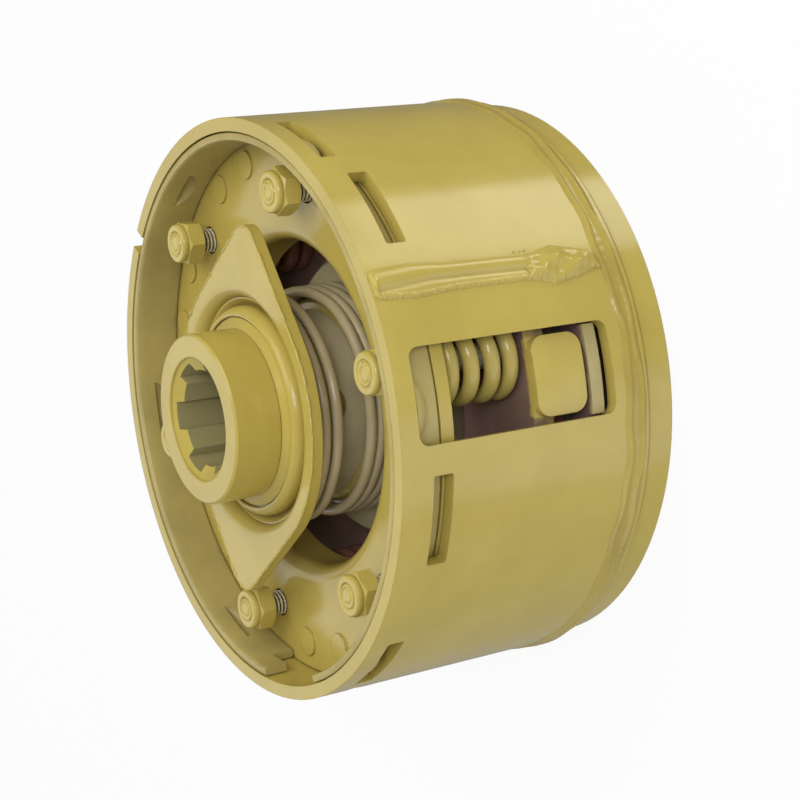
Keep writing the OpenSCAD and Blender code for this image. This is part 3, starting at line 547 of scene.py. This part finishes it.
ring_h = np.concatenate([rear_edge + 0 * low_z, up_to_louver, louver, front + 0 * low_z], 1)
rounding = np.interp(ring_h, [ring_back_z, 80.6, 81.0, 81.5, 94.9, 95.4, 95.7, ring_front_z],
                     [0.8, 0.3, 0.05, 0, 0, 0.08, 0.3, 0.6])
chamfer = np.interp(ring_h[:, ::-1], [ring_back_z, 80.8, 95.2, ring_front_z], [0.2, 0, 0, 0.5])
outer = 85.5 - rounding + swell
inner = 82.8 + 0.78 * swell[:, ::-1] + chamfer
ring_z = np.maximum(np.concatenate([ring_h, ring_h[:, ::-1]], 1), ring_foot_z)
strip = closed(cylinder_points(ring_angle, np.concatenate([outer, inner], 1), ring_z))
setting_ring = solid("setting_ring_strip", [(strip, False, True)], ring_enamel, 35)
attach(setting_ring, "drum")
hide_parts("setting_ring")

# Lock nuts. Chamfered hexagons, 13 mm across the flats, with a turned collar that is
# peened over. Paint closes them round the stud's end, where it dried in a fine crescent.
nut_enamel = enamel("enamel on the lock nuts", "#C4B15C", "#B8A44E", 0.12, edge_mm=0.15)
nut_half = 6.5
groove_r = 3.85
# The nut's outline, from the middle of its face over the collar and down the hexagon to the washer face.
face_r = np.linspace(0.1, 5.2, 52)
face_z = 93.0 + 0.2 * (face_r < 3.7) - 0.25 * hump(face_r - groove_r, 0.3)
shape_r = np.concatenate([[0], face_r, [5.5, 5.8, 6.05, 6.25, 6.35, 6.35, 6.3, 6.1, 6.05],
                          np.linspace(6.25, 7.6, 14), [7.6, 7.6], np.linspace(7.6, 6.4, 8),
                          [5.0, 4.1, 4.0, 0]])
shape_z = np.concatenate([[93.2], face_z, [93.1, 93.05, 92.85, 92.5, 92.1, 91.6, 91.2, 91.05, 90.95],
                          np.linspace(90.9, 90.1, 14), [88, 86.6], np.linspace(86.0, 85.2, 8),
                          [85.2, 85.2, 86, 87]])
shape_r = shape_r[:, None]
shape_z = shape_z[:, None]
for k, (centre, corner) in enumerate(zip(stud_centres, (30, 52, 18, 10, 23, 40))):
    spin = np.radians(corner) + np.linspace(0, 2 * np.pi, 96, endpoint=False)[None]
    hexagon = nut_half / np.cos(np.mod(spin - np.radians(corner), np.pi / 3) - np.pi / 6)
    # The paint's crease is a spiral over the face, and on one side it also deepens
    # the groove round the stud.
    one_side = np.clip(0.3 + np.cos(spin + 1.4 - 0.5 * k), 0, 1)
    spiral_r = 1.9 + 0.16 * np.mod(spin - 0.5 * k, 2 * np.pi)
    crease = 0.3 * hump(shape_r - spiral_r, 0.28) + 0.35 * one_side * hump(shape_r - groove_r, 0.3)
    nut_z = shape_z - crease * (shape_z > 92.7)
    grid = cylinder_points(spin, np.minimum(shape_r, hexagon), nut_z) + centre
    nut = solid(f"lock_nut_{k + 1}_painted", [(grid, False, True)], nut_enamel, 32)
    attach(nut, f"nut_{k + 1}")
    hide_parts(f"lock_nut_{k + 1}")

# Collar spring. Hand-wound 3.4 mm wire on the hub's guide: close turns at the rear, one steep
# turn, and slack turns against the sleeve's flange, which it pushes out towards the nose.


def collar_climb(u):
    """The height of the wire's middle after u turns from the seat on the hub."""
    return np.interp(u, [0, 0.39, 0.94, 1.39, 1.94, 2.4, 3.13, 3.35, 4.06, 4.28, 4.67],
                     [65.7, 65.7, 69.05, 69.05, 72.4, 72.4, 84.1, 84.1, 88.2, 88.4, 89.6])


collar_r = 34.8
collar_wire = 3.4
collar_turns = 4.67
collar_low = 64.0
collar_high = 91.3
wire = coil(collar_r, collar_wire, collar_climb, collar_turns, 180, collar_low, collar_high, (0, 0), steps=90)
# Painted light: the wire takes a paler, greyer copy of the gold, to brighten it in the grip plate's shade.
lit_spring_enamel = enamel("paled enamel on the collar spring, as painted light", "#C2B384", "#AC9C74", 0.15)
collar_spring = solid("collar_spring_wire", [(wire, False, True)], lit_spring_enamel, 50)
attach(collar_spring, "collar_spring")
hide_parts("collar_spring")
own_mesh(collar_spring)

# Locking sleeve, grip plate and retaining ring. The sleeve is turned with a round
# lip, the grip plate is punched and keeps the die's wide rounding round its hole,
# and the ring is a bevelled circlip that holds the sleeve on the hub.
dress(gold_enamel, "grip_plate", "retaining_ring")
glossy_enamel = enamel("well flowed enamel on the sleeve", "#BDA951", "#B39E48", 0.22)
# The lip's outer side is a quarter of an ellipse, and a quarter of a circle of 0.5 mm
# leads into the mouth. The outline then runs round the flange, down the sleeve's
# outside and up its inside, with the balls' groove.
over_lip = np.radians(np.linspace(88, 0, 16))
into_mouth = np.radians(np.linspace(180, 95, 6))
mouth_r = 29.7
lip_r = 32.75
crown_r = mouth_r + 0.5
sleeve_r = np.concatenate([crown_r + 0.5 * np.cos(into_mouth),
                           crown_r + (lip_r - crown_r) * np.cos(over_lip),
                           [lip_r, 34.9, 35.4, 35.4, 37.2, 37.5, 37.5, 37.2, 32.3, 32.3, 29.0, 29.0, 31.6,
                            31.6, 29.0, 29.0, mouth_r]])
sleeve_z = np.concatenate([97.0 + 0.5 * np.sin(into_mouth), 93.7 + 3.8 * np.sin(over_lip),
                           [91.9, 94.1, 94.1, 93.8, 93.8, 93.5, 91.1, 90.8, 90.8, 81.8, 81.8, 85.5, 90.9,
                            95.1, 95.1, 96.3, 96.3]])
around = np.linspace(0, 2 * np.pi, 240, endpoint=False)[:, None]
sleeve_grid = cylinder_points(around, sleeve_r[None], sleeve_z[None])
sleeve = solid("locking_sleeve_turned", [(sleeve_grid, True, True)], glossy_enamel, 35)
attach(sleeve, "collar")
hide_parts("locking_sleeve")

# Paint on the grip plate's edge. The spray gathered there in a thin ragged roll,
# right round the front of the edge: a tube whose thickness strays, laid along the
# outline of the plate's waist and its two round tips.
waist_r = 43.0
tip_r = 8.0
tip_play = 3.9
tip_x = stud_circle_r - nut_half / math.cos(math.pi / 6) - tip_play - tip_r
# The outline is the hull of three circles: in each heading, the one that reaches furthest.
heading = np.radians(np.arange(0, 360, 0.25))
facing = np.stack([np.cos(heading), np.sin(heading)], -1)
reach_of = np.stack([np.full(len(heading), waist_r), tip_x * facing[:, 0] + tip_r,
                     -tip_x * facing[:, 0] + tip_r])
furthest = reach_of.argmax(0)
centre_x = np.array([0, tip_x, -tip_x])[furthest]
corner_r = np.array([waist_r, tip_r, tip_r])[furthest]
outline = np.stack([centre_x, 0 * centre_x], -1) + corner_r[:, None] * facing
outline = np.vstack([outline, outline[:1]])
run = np.concatenate([[0], np.cumsum(np.linalg.norm(np.diff(outline, axis=0), axis=1))])
walk = np.linspace(0, run[-1], 1200, endpoint=False)
outline = np.stack([np.interp(walk, run, outline[:, i]) for i in (0, 1)], -1)
ahead = np.roll(outline, -1, 0) - np.roll(outline, 1, 0)
outward = np.stack([ahead[:, 1], -ahead[:, 0]], -1) / np.linalg.norm(ahead, axis=1)[:, None]
round_plate = 2 * np.pi * walk / run[-1]
roll_r = 0.42 + 0.13 * wander(round_plate, (19, 43, 71, 113), 12)
roll_r = np.clip(roll_r + 0.25 * np.clip(wander(round_plate, (9, 23), 14) - 0.8, 0, 1), 0.22, 0.9)[:, None]
round_roll = np.linspace(0, 2 * np.pi, 12, endpoint=False)[None]
beyond = -0.15 + roll_r * np.cos(round_roll) + 0.08 * wander(round_plate, (31, 57), 15)[:, None]
plate_turn = math.radians(-17.5)
plate_front_z = 97.32
flat = outline[:, None] + outward[:, None] * beyond[..., None]
roll_grid = np.stack([flat[..., 0] * math.cos(plate_turn) - flat[..., 1] * math.sin(plate_turn),
                      flat[..., 0] * math.sin(plate_turn) + flat[..., 1] * math.cos(plate_turn),
                      plate_front_z + roll_r * np.sin(round_roll)], -1)
paint_roll = solid("grip_plate_paint_roll", [(roll_grid, True, True)], gold_enamel, 60)
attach(paint_roll, "collar")

# Studio. The camera stands where the photographer's did, and the clutch lies on its
# side for it, so the picture's up is the part's +X. The rows of axes are the
# picture's right, its up and the way towards the eye.
scene = bpy.context.scene
camera = bpy.data.objects.new("camera", bpy.data.cameras.new("camera"))
camera.data.lens = 85.785
camera.data.sensor_width = 36
axes = np.array([[-0.1378065, -0.5110768, -0.8484161],
                 [0.9896693, -0.0368486, -0.1385528],
                 [0.0395482, -0.8587448, 0.5108750]])
eye = [0.02032, -0.52899, 0.35603]
camera.matrix_world = Matrix(np.vstack([np.column_stack([axes.T, eye]), [0, 0, 0, 1]]).tolist())
scene.collection.objects.link(camera)
scene.camera = camera
scene.view_settings.view_transform = "Standard"

# The room: white where the camera sees it, a soft grey for the light it gives, and
# for gloss a sheen that fades from the picture's foot to its top.
world = bpy.data.worlds.new("studio")
world.use_nodes = True
scene.world = world
tree = world.node_tree
path = add(tree, "ShaderNodeLightPath")
seen = add(tree, "ShaderNodeMath", {"operation": "MAXIMUM"},
           {0: path.outputs["Is Camera Ray"], 1: path.outputs["Is Transmission Ray"]})
upwards = add(tree, "ShaderNodeVectorMath", {"operation": "DOT_PRODUCT", 1: tuple(axes[1])},
              {0: add(tree, "ShaderNodeTexCoord").outputs["Generated"]})
sheen = add(tree, "ShaderNodeMapRange", {"From Min": -0.7, "From Max": 0.5, "To Min": 0.46, "To Max": 0.14},
            {"Value": upwards.outputs["Value"]})
room = add(tree, "ShaderNodeMix", {2: 0.48}, {0: path.outputs["Is Glossy Ray"], 3: sheen.outputs[0]})
strength = add(tree, "ShaderNodeMath", {"operation": "MAXIMUM"}, {0: seen.outputs[0], 1: room.outputs[0]})
background = tree.nodes["Background"]
background.inputs["Color"].default_value = (1, 1, 1, 1)
tree.links.new(strength.outputs[0], background.inputs["Strength"])


def lamp(name, direction, width, height, watts, along, tint=(1, 1, 1)):
    """A soft box, 0.9 m from the clutch, that faces it. Its direction, and the one that
    its width runs along, are given along the picture's right, up and towards the eye."""
    distance = 0.9
    clutch_middle = np.array([0, 0, 0.05])
    d = np.array(direction, float) @ axes
    d /= np.linalg.norm(d)
    x = np.array(along, float) @ axes
    x -= (x @ d) * d
    x /= np.linalg.norm(x)
    data = bpy.data.lights.new(name, "AREA")
    data.shape = "RECTANGLE"
    data.size = width
    data.size_y = height
    data.energy = watts
    data.color = tint
    made = bpy.data.objects.new(name, data)
    place = clutch_middle + d * distance
    frame_of = np.column_stack([x, np.cross(d, x), d, place])
    made.matrix_world = Matrix(np.vstack([frame_of, [0, 0, 0, 1]]).tolist())
    scene.collection.objects.link(made)


warm = (1.0, 0.98, 0.86)
cool = (0.96, 0.98, 1.14)
shade = (0.97, 1.0, 1.35)
drum_axis = (0.85, 0.14, -0.51)
lamp("key_softbox", (0.57, 0.81, 0.09), 0.28, 0.44, 1.75, drum_axis, warm)
lamp("right_softbox", (0.9, -0.25, 0.35), 0.5, 0.5, 0.8, drum_axis, shade)
lamp("front_left_softbox", (-0.65, 0.4, 0.6), 0.6, 0.6, 3.4, (1, 0, 0))
lamp("front_softbox", (-0.1, 0.1, 1), 0.36, 0.25, 2.7, (1, 0, 0), cool)
lamp("low_softbox", (0.3, -0.8, 0.5), 0.6, 0.6, 1.25, (1, 0, 0), shade)
lamp("left_softbox", (-0.87, -0.14, -0.47), 0.5, 0.5, 0.8, (0, 1, 0))

# The floor: white paper just under the part, which stays out of its light and its reflections.
half_m = 3
floor_z = -0.0005
square = ((-1, -1), (1, -1), (1, 1), (-1, 1))
floor_mesh = bpy.data.meshes.new("floor")
floor_mesh.from_pydata([(half_m * x, half_m * y, floor_z) for x, y in square], [], [(0, 1, 2, 3)])
floor = bpy.data.objects.new("floor", floor_mesh)
scene.collection.objects.link(floor)
paper, tree, shader, place = start("white paper sweep")
shader.inputs["Roughness"].default_value = 0.9
shader.inputs["Base Color"].default_value = (0.8, 0.8, 0.8, 1)
path = add(tree, "ShaderNodeLightPath")
glow = add(tree, "ShaderNodeEmission", {"Color": (1, 1, 1, 1), "Strength": 1.0})
seen = add(tree, "ShaderNodeMath", {"operation": "MULTIPLY", 1: 0.93}, {0: path.outputs["Is Camera Ray"]})
mixed = add(tree, "ShaderNodeMixShader", {}, {0: seen.outputs[0], 1: shader.outputs[0], 2: glow.outputs[0]})
output = [n for n in tree.nodes if n.type == "OUTPUT_MATERIAL"][0]
tree.links.new(mixed.outputs[0], output.inputs["Surface"])
floor_mesh.materials.append(paper)
floor.visible_diffuse = False
floor.visible_glossy = False
floor.visible_shadow = False
